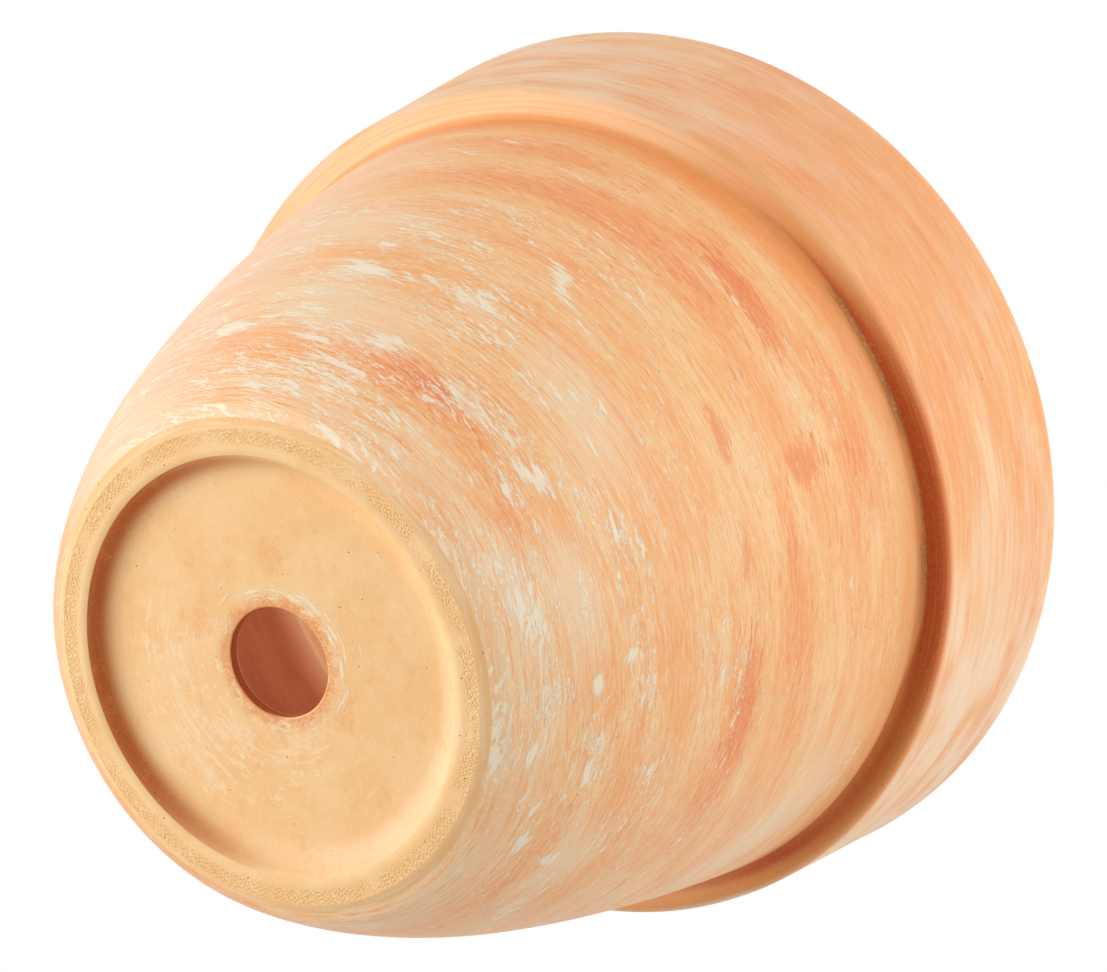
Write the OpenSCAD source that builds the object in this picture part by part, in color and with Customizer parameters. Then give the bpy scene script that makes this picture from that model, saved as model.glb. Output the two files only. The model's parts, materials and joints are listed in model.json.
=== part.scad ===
// Terracotta flower pot: one body of fired clay, with a rim band, a recessed foot and a drain hole.
// It stands on its foot ring at z = 0, with its axis along Z. All sizes are in millimetres.
// The half section is a list of corners [radius, height, rounding], which is rounded off and spun.

/* [Overall] */
// Height of the pot, from the ground to the top of the lip
pot_h = 226; // [200:1:260]
// Outside diameter of the pot across its lip
rim_d = 270; // [240:1:300]
// Outside diameter of the flat ring that the pot stands on
foot_d = 138; // [120:1:150]

/* [Wall] */
// Thickness of the wall, square to it
wall_t = 9; // [6:0.5:12]
// Degrees that the wall leans out from upright where it leaves the foot
foot_lean = 34.5; // [25:0.5:50]
// Degrees that the wall leans out from upright at the neck
neck_lean = 7.5; // [4:0.5:14]
// How far up the wall the lean at the foot reaches
foot_reach = 44; // [20:1:60]
// How far down the wall the lean at the neck reaches
neck_reach = 48; // [30:1:80]

/* [Rim band] */
// Height of the band, from its lower edge to the top of the lip
rim_h = 66; // [50:0.5:80]
// Height of the upright edge of the lip
lip_h = 7; // [5.5:0.5:12]
// How much further out the lip stands than the lower edge of the band
rim_flare = 5; // [2:0.5:8]
// Width of the ledge under the band
ledge_w = 8.6; // [6:0.2:12]
// Thickness of the lip
lip_t = 11; // [9:0.5:14]
// Rounding of the two edges of the lip
lip_round = 4.8; // [2:0.1:5]
// Rounding of the lower edge of the band
band_round = 3.4; // [0.5:0.1:4]
// Rounding in the corner between the neck and the ledge
neck_round = 3; // [1:0.1:4]
// Height of the inside step above the ledge
step_up = 5.5; // [3:0.5:14]
// Width of the inside step, where the mouth widens into the band
step_w = 3.5; // [1:0.5:5]
// Rounding of the inside step
step_round = 1.6; // [0.3:0.1:2]

/* [Foot] */
// Width of the flat ring
ring_w = 8; // [5:0.5:12]
// Width of the smooth bevel between the ring and the wall
bevel_w = 6.2; // [3:0.2:9]
// Height of the bevel
bevel_h = 3.5; // [2:0.1:6]
// Rounding between the bevel and the wall
bevel_round = 4; // [1:0.5:5]
// Rounding of the outside edge of the ring
foot_round = 1; // [0.3:0.1:2]
// Depth of the recess under the floor
recess_h = 6; // [4.5:0.1:9]
// How much the recess narrows from its edge to the floor
recess_draft = 4; // [1:0.5:6]
// Hollow rounding between the side of the recess and the floor
cove_round = 7.5; // [1:0.5:8]
// Rounding of the inside edge of the ring
edge_round = 4; // [0.3:0.1:4.5]

/* [Floor and drain hole] */
// Thickness of the floor
floor_t = 7; // [6:0.5:14]
// Height of the hollow rounding between the floor and the wall, inside
heel_h = 14; // [8:1:20]
// Diameter of the drain hole
hole_d = 32; // [20:1:40]
// Rounding of the outside edge of the drain hole
hole_round = 0.8; // [0.3:0.1:1.5]
// Height of the straight wall of the drain hole
hole_wall = 2; // [1:0.1:3]
// Degrees that the bevel above it leans out from upright, up to the inside of the floor
hole_lean = 45; // [30:1:60]
// Rounding of the two edges of that bevel
bevel_edge = 1; // [0.3:0.1:1.5]

/* [Hidden] */
$fn = 144;
CURVE_STEPS = 22;
ARC_STEPS = 7;
MIN_FLAT = 0.2;
// The most that one rounding may take of the width that it shares with another
ROUND_SHARE = 0.44;

rim_r = rim_d / 2;
foot_r = foot_d / 2;
hole_r = hole_d / 2;
band_r = rim_r - rim_flare;
neck_r = band_r - ledge_w;
neck_z = pot_h - rim_h;
recess_r = foot_r - ring_w;
floor_z = recess_h + floor_t;

// Roundings, limited by the faces that they end on
lip_edge = min(lip_round, ROUND_SHARE * lip_t, lip_h - MIN_FLAT);
step_edge = min(step_round, ROUND_SHARE * step_w);
band_edge = min(band_round, ROUND_SHARE * ledge_w);
neck_edge = min(neck_round, ROUND_SHARE * ledge_w);
recess_side = norm([recess_draft, recess_h]);
recess_half = (90 + atan2(recess_draft, recess_h)) / 2;
ring_edge = min(edge_round, ring_w / 2 * tan(recess_half));
cove = min(cove_round, (recess_side - MIN_FLAT) * tan(recess_half) - ring_edge);

// The bevel inside the drain hole starts a little above its wall, by what its own rounding takes
hole_bevel_z = recess_h + hole_round + hole_wall + bevel_edge * tan(hole_lean / 2);
hole_bevel_r = hole_r + (floor_z - hole_bevel_z) * tan(hole_lean);

// The outside of the wall is one curve with four control points, from the bevel up to the neck
wall_curve = [
    [foot_r + bevel_w, bevel_h],
    [foot_r + bevel_w, bevel_h] + foot_reach * leaning(foot_lean),
    [neck_r, neck_z] - neck_reach * leaning(neck_lean),
    [neck_r, neck_z]
];

function leaning(degrees) = [sin(degrees), cos(degrees)];
function unit(v) = v / norm(v);
function flat(lists) = [for (list = lists) for (item = list) item];

// A point of the wall's outside, from t = 0 at the bevel to t = 1 at the neck
function wall_at(t) =
    pow(1 - t, 3) * wall_curve[0]
    + 3 * t * pow(1 - t, 2) * wall_curve[1]
    + 3 * pow(t, 2) * (1 - t) * wall_curve[2]
    + pow(t, 3) * wall_curve[3];

// The way that the wall runs there
function wall_way(t) = unit(
    pow(1 - t, 2) * (wall_curve[1] - wall_curve[0])
    + 2 * t * (1 - t) * (wall_curve[2] - wall_curve[1])
    + pow(t, 2) * (wall_curve[3] - wall_curve[2])
);

// The same point of the wall's inside
function inside_at(t) = wall_at(t) + wall_t * [-wall_way(t)[1], wall_way(t)[0]];

// The t at which the wall's inside is z high
function inside_t(z, low = 0, high = 1, tries = 24) =
    let (middle = (low + high) / 2)
    tries == 0 ? middle
    : inside_at(middle)[1] < z ? inside_t(z, middle, high, tries - 1)
    : inside_t(z, low, middle, tries - 1);

// The corner b between a and c, rounded off by its own radius b[2]
function rounded(a, b, c) =
    let (
        tip = [b[0], b[1]],
        back = unit([a[0], a[1]] - tip),
        on = unit([c[0], c[1]] - tip),
        half = acos(back * on) / 2,
        reach = b[2] / tan(half),
        centre = tip + unit(back + on) * b[2] / sin(half),
        from = tip + back * reach - centre,
        to = tip + on * reach - centre,
        start = atan2(from[1], from[0]),
        sweep = (atan2(to[1], to[0]) - start + 540) % 360 - 180
    )
    b[2] == 0 ? [tip]
    : [for (i = [0 : ARC_STEPS])
        let (at = start + sweep * i / ARC_STEPS)
        centre + b[2] * [cos(at), sin(at)]];

// All the corners of an outline, rounded off
function outline(corners) =
    let (n = len(corners))
    flat([for (i = [0 : n - 1]) rounded(corners[(i + n - 1) % n], corners[i], corners[(i + 1) % n])]);

// The heel is the hollow rounding between the floor and the wall, which meets both without a crease
heel_t = inside_t(floor_z + heel_h);
heel_top = inside_at(heel_t);
heel_lean = 90 - atan2(wall_way(heel_t)[1], wall_way(heel_t)[0]);
heel_run = heel_h / cos(heel_lean);
heel_corner = heel_top - heel_run * wall_way(heel_t);
heel_round = heel_run / tan((90 - heel_lean) / 2);

inside_neck = inside_at(1);
step_z = neck_z + step_up;
step_r = inside_neck[0] + (step_z - inside_neck[1]) * tan(neck_lean);

drain_hole = [
    [hole_r, recess_h, hole_round],
    [hole_r, hole_bevel_z, bevel_edge],
    [hole_bevel_r, floor_z, bevel_edge]
];
inside = concat(
    [[heel_corner[0], floor_z, heel_round]],
    [for (i = [1 : CURVE_STEPS]) with_round(inside_at(heel_t + (1 - heel_t) * i / CURVE_STEPS), 0)]
);
mouth = [
    [step_r, step_z, step_edge],
    [step_r + step_w, step_z, step_edge],
    [rim_r - lip_t, pot_h, lip_edge]
];
band = [
    [rim_r, pot_h, lip_edge],
    [rim_r, pot_h - lip_h, 0],
    [band_r, neck_z, band_edge],
    [neck_r, neck_z, neck_edge]
];
outside = [for (i = [CURVE_STEPS - 1 : -1 : 1]) with_round(wall_at(i / CURVE_STEPS), 0)];
foot = [
    [foot_r + bevel_w, bevel_h, bevel_round],
    [foot_r, 0, foot_round],
    [recess_r, 0, ring_edge],
    [recess_r - recess_draft, recess_h, cove]
];

function with_round(point, radius) = [point[0], point[1], radius];

module pot() {
    color("sandybrown")
    rotate_extrude()
    polygon(outline(concat(drain_hole, inside, mouth, band, outside, foot)));
}

pot();
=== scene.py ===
# %% [markdown]
# A terracotta flower pot is one piece of clay: a wall that swells up from a small foot, a band
# round the rim, a recess under the foot and a drain hole through the floor. This lesson turns one
# outline into that pot, and spends most of its care on the fired clay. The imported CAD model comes
# first, because it says how large the pot is and where it stands.

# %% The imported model
import json
import math
from collections import namedtuple

import bmesh
import bpy
from mathutils import Matrix, Vector, noise
from mathutils.geometry import interpolate_bezier


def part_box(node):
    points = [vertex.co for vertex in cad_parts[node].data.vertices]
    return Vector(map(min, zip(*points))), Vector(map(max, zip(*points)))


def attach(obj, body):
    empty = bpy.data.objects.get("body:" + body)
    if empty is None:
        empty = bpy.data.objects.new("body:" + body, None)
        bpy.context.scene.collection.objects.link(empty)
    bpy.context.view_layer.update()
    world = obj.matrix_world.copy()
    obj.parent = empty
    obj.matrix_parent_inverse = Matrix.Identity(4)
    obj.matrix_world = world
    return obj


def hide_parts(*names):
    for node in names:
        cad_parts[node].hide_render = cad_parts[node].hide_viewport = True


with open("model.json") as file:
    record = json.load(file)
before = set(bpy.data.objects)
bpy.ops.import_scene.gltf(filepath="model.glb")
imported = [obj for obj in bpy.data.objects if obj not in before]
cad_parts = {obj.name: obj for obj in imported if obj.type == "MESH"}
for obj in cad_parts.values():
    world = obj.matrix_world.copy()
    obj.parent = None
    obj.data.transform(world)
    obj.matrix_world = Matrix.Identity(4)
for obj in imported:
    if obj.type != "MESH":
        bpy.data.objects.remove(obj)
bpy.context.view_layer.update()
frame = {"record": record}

MM = 0.001
pot_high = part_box("pot")[1]
mounts = {mount["name"]: mount for mount in frame["record"]["mounts"]}
print("the pot is", round(2 * pot_high.x / MM), "mm across and", round(pot_high.z / MM), "mm high")

# %% [markdown]
# These are the sizes that a potter would note down, in millimetres and degrees. The height, the
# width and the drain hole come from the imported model, so that the pot can't drift away from it. The
# rest are the sizes of the mould.

# %% Sizes of the pot
RIM_R = pot_high.x / MM
POT_H = pot_high.z / MM
HOLE_R = mounts["drain_hole"]["dims"]["r_mm"]

FOOT_R = 69
WALL_T = 9
FOOT_LEAN = 34.5
NECK_LEAN = 7.5
FOOT_REACH = 44
NECK_REACH = 48

RIM_H = 66
LIP_H = 7
RIM_FLARE = 5
LEDGE_W = 8.6
LIP_T = 11
STEP_UP = 5.5
STEP_W = 3.5

RING_W = 8
BEVEL_W = 6.2
BEVEL_H = 3.5
RECESS_H = 6
RECESS_DRAFT = 4
FLOOR_T = 7
HEEL_H = 14
HOLE_BEVEL = 3.79

BAND_R = RIM_R - RIM_FLARE
NECK_R = BAND_R - LEDGE_W
NECK_Z = POT_H - RIM_H
RECESS_R = FOOT_R - RING_W
FLOOR_Z = RECESS_H + FLOOR_T
STEP_Z = NECK_Z + STEP_UP

# %% [markdown]
# The outside of the wall is one Bezier curve, which leans well out at the foot and is nearly
# upright at the neck. The inside is the same curve moved in by the wall's thickness.

# %% The curve of the wall
WALL_POINTS = 41


def leaning(degrees):
    """One step up a line that leans out from upright, in the half section."""
    return Vector((math.sin(math.radians(degrees)), 0, math.cos(math.radians(degrees))))


def wall_outside():
    """Points up the outside of the wall, from the foot's bevel to the neck."""
    bottom = Vector((FOOT_R + BEVEL_W, 0, BEVEL_H))
    top = Vector((NECK_R, 0, NECK_Z))
    low_handle = bottom + FOOT_REACH * leaning(FOOT_LEAN)
    high_handle = top - NECK_REACH * leaning(NECK_LEAN)
    return interpolate_bezier(bottom, low_handle, high_handle, top, WALL_POINTS)


def wall_inside(outside):
    """The same points moved square to the wall by its thickness, from the heel up."""
    moved = []
    for before, here, after in zip(outside, outside[1:], outside[2:] + outside[-1:]):
        way = (after - before).normalized()
        moved.append(here + WALL_T * Vector((-way.z, 0, way.x)))
    return [point for point in moved if point.z > FLOOR_Z + HEEL_H]


outside = wall_outside()
inside = wall_inside(outside)
print("the wall has", len(outside), "points outside and", len(inside), "inside")

# %% [markdown]
# Sharp corners never come out of a plaster mould, so every real corner is rounded. Each number says
# how far along its two edges a rounding starts, as a bevel on a vertex is measured. The heel, where
# the floor turns up into the wall, is one large rounding that stops just short of the wall's first
# point.

# %% Roundings
HOLE_ROUND = 0.8
HOLE_BEVEL_ROUND = 0.4
STEP_IN_ROUND = 1.5
STEP_OUT_ROUND = 1.3
LIP_IN_ROUND = 4.4
LIP_OUT_ROUND = 4.8
BAND_ROUND = 3.2
NECK_ROUND = 2.8
FOOT_BEVEL_ROUND = 1.2
FOOT_ROUND = 0.4
RING_ROUND = 2.2
COVE_ROUND = 4.4
HEEL_SHARE = 0.999

heel_way = (inside[1] - inside[0]).normalized()
heel_corner = inside[0] - heel_way * (inside[0].z - FLOOR_Z) / heel_way.z
heel_reach = (inside[0] - heel_corner).length * HEEL_SHARE
print("the heel starts", round(heel_reach, 1), "mm from its corner")

# %% [markdown]
# The half section is a closed ring of corners: radius, height and rounding. It goes from the drain
# hole over the floor, up the inside, across the mouth, down the outside and back under the foot.

# %% The corners of the half section
step_r = inside[-1].x + (STEP_Z - inside[-1].z) * math.tan(math.radians(NECK_LEAN))

CORNERS = (
    [(HOLE_R, RECESS_H, HOLE_ROUND), (HOLE_R, FLOOR_Z - HOLE_BEVEL, HOLE_BEVEL_ROUND)]
    + [(HOLE_R + HOLE_BEVEL, FLOOR_Z, HOLE_BEVEL_ROUND), (heel_corner.x, FLOOR_Z, heel_reach)]
    + [(point.x, point.z, 0) for point in inside]
    + [(step_r, STEP_Z, STEP_IN_ROUND), (step_r + STEP_W, STEP_Z, STEP_OUT_ROUND)]
    + [(RIM_R - LIP_T, POT_H, LIP_IN_ROUND), (RIM_R, POT_H, LIP_OUT_ROUND)]
    + [(RIM_R, POT_H - LIP_H, 0), (BAND_R, NECK_Z, BAND_ROUND), (NECK_R, NECK_Z, NECK_ROUND)]
    + [(point.x, point.z, 0) for point in reversed(outside[1:-1])]
    + [(FOOT_R + BEVEL_W, BEVEL_H, FOOT_BEVEL_ROUND), (FOOT_R, 0, FOOT_ROUND)]
    + [(RECESS_R, 0, RING_ROUND), (RECESS_R - RECESS_DRAFT, RECESS_H, COVE_ROUND)]
)
print("the half section has", len(CORNERS), "corners")

# %% [markdown]
# A bmesh takes the corners as vertices joined in a ring, and vertex bevels round them. Long
# stretches are cut into shorter ones, and the flat of the foot much finer, because a print in the
# clay has to fit on it.

# %% Drawing the half section
ROUND_STEPS = 6
ROW_H = 4
PRINT_ROW = 0.28
GROUND_MARGIN = 0.01


def on_ground(vert):
    """True for a point of the flat that the pot stands on."""
    return abs(vert.co.z) < GROUND_MARGIN


def row_height(edge):
    """How far apart the rows of points are on this edge of the half section."""
    return PRINT_ROW if all(on_ground(vert) for vert in edge.verts) else ROW_H


def draw_half_section(mesh):
    """Adds the rounded half section to an empty bmesh, in millimetres."""
    verts = [mesh.verts.new((radius, 0, height)) for radius, height, reach in CORNERS]
    for here, there in zip(verts, verts[1:] + verts[:1]):
        mesh.edges.new((here, there))
    for vert, (radius, height, reach) in zip(verts, CORNERS):
        if reach:
            bmesh.ops.bevel(
                mesh, geom=[vert], offset=reach, offset_type="OFFSET", affect="VERTICES",
                segments=ROUND_STEPS, profile=0.5, material=-1,
            )
    for edge in list(mesh.edges):
        cuts = int(edge.calc_length() / row_height(edge))
        if cuts:
            bmesh.ops.subdivide_edges(mesh, edges=[edge], cuts=cuts)


clay = bmesh.new()
draw_half_section(clay)
print("rounded off, it has", len(clay.verts), "points")

# %% [markdown]
# A full turn about Z makes the body, as the spinning mould does. Spin may leave the faces inside
# out, so they are told to point outwards.

# %% Turning the body
TURN_STEPS = 240


def turn_body(mesh):
    """Spins the half section once round Z and points its faces outwards."""
    bmesh.ops.spin(
        mesh, geom=mesh.verts[:] + mesh.edges[:], cent=(0, 0, 0), axis=(0, 0, 1),
        angle=math.tau, steps=TURN_STEPS, use_merge=True, use_duplicate=False,
    )
    bmesh.ops.recalc_face_normals(mesh, faces=mesh.faces)


turn_body(clay)
print("turned, it has", len(clay.verts), "points and", len(clay.faces), "faces")

# %% [markdown]
# Raw pots dry on coarse cloth, and the ring that they stand on keeps its print: fine ridges in two
# slanting directions. The rule serves for relief in the mesh and later for fine bump, because it
# takes either numbers or wires of a material.

# %% The weave of the cloth
PRINT_COUNT = 360
PRINT_PITCH = 1.25
JITTER_REACH = 22


def cloth_print(turn, radius, sine, jitter):
    """Ridges in two slanting directions, from -1 to 1. Jitter, from -0.5 to 0.5, breaks them up."""
    round_ring = turn * PRINT_COUNT + jitter * JITTER_REACH
    across_ring = radius * (math.tau / PRINT_PITCH)
    return sine(round_ring + across_ring) * 0.62 + sine(round_ring * 0.5 - across_ring) * 0.38


# %% [markdown]
# The flat of the foot is cut finely, and each of its points moves up by as much as the cloth
# pressed it. The print fades at both edges of the ring, and is rubbed away in places.

# %% The print on the foot
PRINT_CUTS = 5
PRINT_DEPTH = 0.17
PRINT_IN = RECESS_R + 2.4
PRINT_OUT = FOOT_R - 0.3
FADE_IN = 1.5
FADE_OUT = 0.4
WORN_SIZE = 14
WORN_LEVEL = 0.75
WORN_RANGE = 1.4
JITTER_SIZE = 2.2
RING_MARGIN = 0.02


def is_round_ring(edge):
    """True for an edge that runs round the flat of the foot."""
    near, far = (math.hypot(vert.co.x, vert.co.y) for vert in edge.verts)
    return abs(near - far) < RING_MARGIN and all(on_ground(vert) for vert in edge.verts)


def print_foot(mesh):
    """Cuts the flat of the foot finely and presses the print up into it."""
    bmesh.ops.subdivide_edges(
        mesh, edges=[edge for edge in mesh.edges if is_round_ring(edge)], cuts=PRINT_CUTS,
        use_grid_fill=True,
    )
    for vert in mesh.verts:
        radius = math.hypot(vert.co.x, vert.co.y)
        if on_ground(vert) and PRINT_IN < radius < PRINT_OUT:
            fade = min(1, (radius - PRINT_IN) / FADE_IN, (PRINT_OUT - radius) / FADE_OUT)
            worn = max(0, min(1, WORN_LEVEL + noise.noise(vert.co / WORN_SIZE) * WORN_RANGE))
            jitter = noise.noise(vert.co / JITTER_SIZE) * 0.5
            ridge = cloth_print(math.atan2(vert.co.y, vert.co.x), radius, math.sin, jitter)
            vert.co.z = PRINT_DEPTH * fade * worn * (0.5 - 0.5 * ridge)


print_foot(clay)
print("with the print, it has", len(clay.faces), "faces")

# %% [markdown]
# Each stretch of the pot has its own finish, so its faces get their own material slot. A face is
# told apart by where its middle is, and inside from outside by which way it points.

# %% Which finish goes where
WALL, BAND, FOOT, RECESS, INSIDE = range(5)
INTO_HOLE = 0.5
OVER_LIP = 3
UNDER_LEDGE = 2.4
NECK_MARGIN = 1
CLEAR_OF_HOLE = 10


def finish_of(face):
    """The slot of one face."""
    middle = face.calc_center_median()
    radius = math.hypot(middle.x, middle.y)
    looks_out = face.normal.x * middle.x + face.normal.y * middle.y > 0
    outside_neck = radius > NECK_R - NECK_MARGIN
    if radius < RECESS_R and middle.z < RECESS_H + INTO_HOLE:
        return RECESS
    if middle.z < BEVEL_H / 2 and radius < FOOT_R + BEVEL_W:
        return FOOT
    if middle.z > NECK_Z and outside_neck and (looks_out or middle.z > POT_H - OVER_LIP):
        return BAND
    if NECK_Z - UNDER_LEDGE < middle.z < NECK_Z + NECK_MARGIN and outside_neck:
        return BAND
    return WALL if looks_out and radius > HOLE_R + CLEAR_OF_HOLE else INSIDE


for face in clay.faces:
    face.material_index = finish_of(face)
    face.smooth = True
print("faces inside:", sum(face.material_index == INSIDE for face in clay.faces))

# %% [markdown]
# A pressed pot is never quite round. Each point of the walls moves by less than half a millimetre,
# always inwards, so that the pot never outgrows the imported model. The inside also keeps the shallow
# rings of the tool that shaped it. The foot stays true.

# %% Slight unevenness
UNEVEN = 0.35
UNEVEN_SIZE = 45
UNEVEN_GROWS = 10
TOOL_RING = 0.07
TOOL_RING_STEP = 5.5


def settle(mesh):
    """Moves the walls in a little, by more in some places than in others, in millimetres."""
    inner = {vert for face in mesh.faces if face.material_index == INSIDE for vert in face.verts}
    for vert in mesh.verts:
        if vert.co.z > BEVEL_H:
            push = UNEVEN * (0.5 + 0.5 * noise.noise(vert.co / UNEVEN_SIZE))
            if vert in inner:
                push += TOOL_RING * math.sin(vert.co.z * math.tau / TOOL_RING_STEP)
            inward = Vector((vert.co.x, vert.co.y, 0)).normalized()
            vert.co -= inward * push * min(1, (vert.co.z - BEVEL_H) / UNEVEN_GROWS)


settle(clay)
print("the rim now ends at", round(max(vert.co.x for vert in clay.verts), 2), "mm from the axis")

# %% [markdown]
# The finished clay becomes one object, scaled from millimetres to metres. One body means one piece,
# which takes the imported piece's place.

# %% The pot as an object
pot_mesh = bpy.data.meshes.new("flower_pot")
bmesh.ops.scale(clay, vec=(MM, MM, MM), verts=clay.verts)
clay.to_mesh(pot_mesh)
clay.free()
pot = bpy.data.objects.new("flower_pot", pot_mesh)
bpy.context.scene.collection.objects.link(pot)
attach(pot, "root")
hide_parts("pot")
pot_mesh.calc_loop_triangles()
print("the pot's mesh has", len(pot_mesh.loop_triangles), "triangles")

# %% [markdown]
# Materials are sums. A small class wraps the output of a node, so that such a sum can be written as
# Python writes it, and each sign adds its Math node. Every other node comes from one method.

# %% Sums that make nodes
class Wire:
    """An output of a node. Arithmetic on it adds Math nodes, and node() adds any other."""

    def __init__(self, tree, socket=None):
        self.tree = tree
        self.socket = socket

    def node(self, kind, settings, inputs, output=0):
        """Adds a node, its settings first and then its sockets, and gives an output."""
        made = self.tree.nodes.new(kind)
        for name, value in settings.items():
            setattr(made, name, value)
        for name, value in inputs.items():
            if isinstance(value, Wire):
                self.tree.links.new(value.socket, made.inputs[name])
            else:
                made.inputs[name].default_value = value
        return Wire(self.tree, made.outputs[output])

    def maths(self, operation, *values):
        """Adds a Math node that works on these values, be they numbers or wires."""
        return self.node("ShaderNodeMath", {"operation": operation}, dict(enumerate(values)))

    def __add__(self, other):
        return self.maths("ADD", self, other)

    def __sub__(self, other):
        return self.maths("SUBTRACT", self, other)

    def __rsub__(self, other):
        return self.maths("SUBTRACT", other, self)

    def __mul__(self, other):
        return self.maths("MULTIPLY", self, other)

    def __truediv__(self, other):
        return self.maths("DIVIDE", self, other)

    def __pow__(self, other):
        return self.maths("POWER", self, other)

    __radd__ = __add__


# %% [markdown]
# A soft step turns a pattern into a mask, and a blend lays one colour on another through it. The
# Mix node has sockets of the same names for every kind of value, so its colours are asked for by
# number.

# %% Masks, blends and paints
MIX_UNDER = 6
MIX_OVER = 7
MIX_RESULT = 2


def smooth(value, low, high):
    """0 below low and 1 above high, with a soft step between. Low may be the larger of the two."""
    return value.node(
        "ShaderNodeMapRange", {"interpolation_type": "SMOOTHSTEP"},
        {"Value": value, "From Min": low, "From Max": high},
    )


def blend(mask, under, over):
    """Colour over laid on colour under as thickly as the mask says."""
    return mask.node(
        "ShaderNodeMix", {"data_type": "RGBA"},
        {"Factor": mask, MIX_UNDER: under, MIX_OVER: over}, output=MIX_RESULT,
    )


def paint(red, green, blue):
    """A colour as a screen's 0 to 255, made linear for the shader."""
    linear = [((part / 255 + 0.055) / 1.055) ** 2.4 for part in (red, green, blue)]
    return (*linear, 1)


# %% [markdown]
# All patterns are read in millimetres on the pot itself. Most run round it, because the clay was
# wiped while it turned, so the noise is stretched: long round the pot, short up it.

# %% Patterns that run round the pot
GRAIN = 0.9
WIPED_GRAIN = 0.6

Spot = namedtuple("Spot", "place x y z radius turn")


def read_spot(tree):
    """Where on the pot the shader is: the point, its parts, its radius and its angle."""
    start = Wire(tree)
    metres = start.node("ShaderNodeTexCoord", {}, {}, output="Object")
    place = start.node(
        "ShaderNodeVectorMath", {"operation": "SCALE"}, {0: metres, "Scale": 1 / MM},
    )
    x, y, z = (start.node("ShaderNodeSeparateXYZ", {}, {0: place}, output=part) for part in "XYZ")
    return Spot(place, x, y, z, (x * x + y * y) ** 0.5, start.maths("ARCTAN2", y, x))


def clouds(spot, length, height, seed, detail=3, rough=0.55):
    """Noise in blots that are so long round the pot and so high, in millimetres."""
    sizes = (1 / length, 1 / length, 1 / height)
    vector = spot.place.node(
        "ShaderNodeVectorMath", {"operation": "MULTIPLY_ADD"},
        {0: spot.place, 1: sizes, 2: (seed, seed * 2, seed * 3)},
    )
    return vector.node(
        "ShaderNodeTexNoise", {},
        {"Vector": vector, "Scale": 1, "Detail": detail, "Roughness": rough},
    )


def clay_grain(spot, seed, height=GRAIN):
    """The grain of the clay itself, which is a little flatter where the clay was wiped."""
    return clouds(spot, GRAIN, height, seed, rough=0.7)


# %% [markdown]
# Some streaks climb as they go round, like a screw thread. Shearing the noise would leave a seam
# where the angle jumps. So the height is wound onto a circle, its start turning with the angle, and
# the noise is read in four dimensions.

# %% Patterns that climb
MIDDLE_R = 105


def climbing(spot, length, height, climb, seed, detail=4, rough=0.6):
    """Noise in streaks that rise by climb millimetres for each millimetre round the pot."""
    rise = climb * MIDDLE_R
    reach = rise / height
    wound = spot.turn + spot.z / rise
    vector = wound.node(
        "ShaderNodeCombineXYZ", {},
        {0: spot.x / length, 1: spot.y / length, 2: wound.maths("SINE", wound) * reach},
    )
    return vector.node(
        "ShaderNodeTexNoise", {"noise_dimensions": "4D"},
        {
            "Vector": vector, "W": wound.maths("COSINE", wound) * reach + seed,
            "Scale": 1, "Detail": detail, "Roughness": rough,
        },
    )


# %% [markdown]
# On a flat floor the marks are arcs about the drain hole. They are read from direction and
# distance, so that they close into rings without a seam. Pinholes are cells of a Voronoi texture,
# of which only a drawn share gets a hole in its middle.

# %% Arcs and pinholes
ARC_R = 25


def circling(spot, length, width, seed, detail=4, curl=0):
    """Noise in arcs about the axis: so long at 25 mm out, and so wide."""
    reach = ARC_R / length
    vector = spot.radius.node(
        "ShaderNodeCombineXYZ", {},
        {
            0: spot.x / spot.radius * reach, 1: spot.y / spot.radius * reach,
            2: spot.radius / width + seed,
        },
    )
    return vector.node(
        "ShaderNodeTexNoise", {},
        {"Vector": vector, "Scale": 1, "Detail": detail, "Roughness": 0.6, "Distortion": curl},
    )


def pinholes(spot, apart, share, size):
    """Small round pits, some way apart: 1 in a pit and 0 outside. Share is how many there are."""
    scale = {"Vector": spot.place, "Scale": 1 / apart}
    distance = spot.place.node("ShaderNodeTexVoronoi", {}, scale, output="Distance")
    lot = spot.place.node("ShaderNodeTexVoronoi", {}, scale, output="Color")
    drawn = lot.node("ShaderNodeSeparateColor", {}, {0: lot})
    near = smooth(distance, size * 1.6 / apart, size * 0.8 / apart)
    return near * smooth(drawn, 1 - share, 1.01 - share)


# %% [markdown]
# Some patches are too telling to leave to chance. Each is an ellipsoid that sits on the wall at its
# own angle and height. A Mapping node moves its middle to the origin and its radii to 1. The result
# is 1 in the middle, 0 at the edge and less beyond, so that a brushed noise can be added to fray
# the edge.

# %% Patches at a chosen place
PATCH_DEPTH = 45


def wall_radius(height):
    """Radius of the outside of the wall at this height, in millimetres."""
    for low_point, high_point in zip(outside, outside[1:]):
        if low_point.z <= height <= high_point.z:
            share = (height - low_point.z) / (high_point.z - low_point.z)
            return low_point.x + share * (high_point.x - low_point.x)
    return NECK_R


def patch(spot, angle, height, long, tall, tilt=0, radius=None):
    """A patch centred at an angle in degrees and a height, with its half length and half height."""
    turn = math.radians(angle)
    radius = radius or wall_radius(height)
    local = spot.place.node(
        "ShaderNodeMapping", {"vector_type": "TEXTURE"},
        {
            "Vector": spot.place,
            "Location": (radius * math.cos(turn), radius * math.sin(turn), height),
            "Rotation": (math.radians(tilt), 0, turn),
            "Scale": (PATCH_DEPTH if radius > FOOT_R else long, long, tall),
        },
    )
    return 1 - local.node(
        "ShaderNodeVectorMath", {"operation": "LENGTH"}, {0: local}, output="Value",
    )


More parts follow.
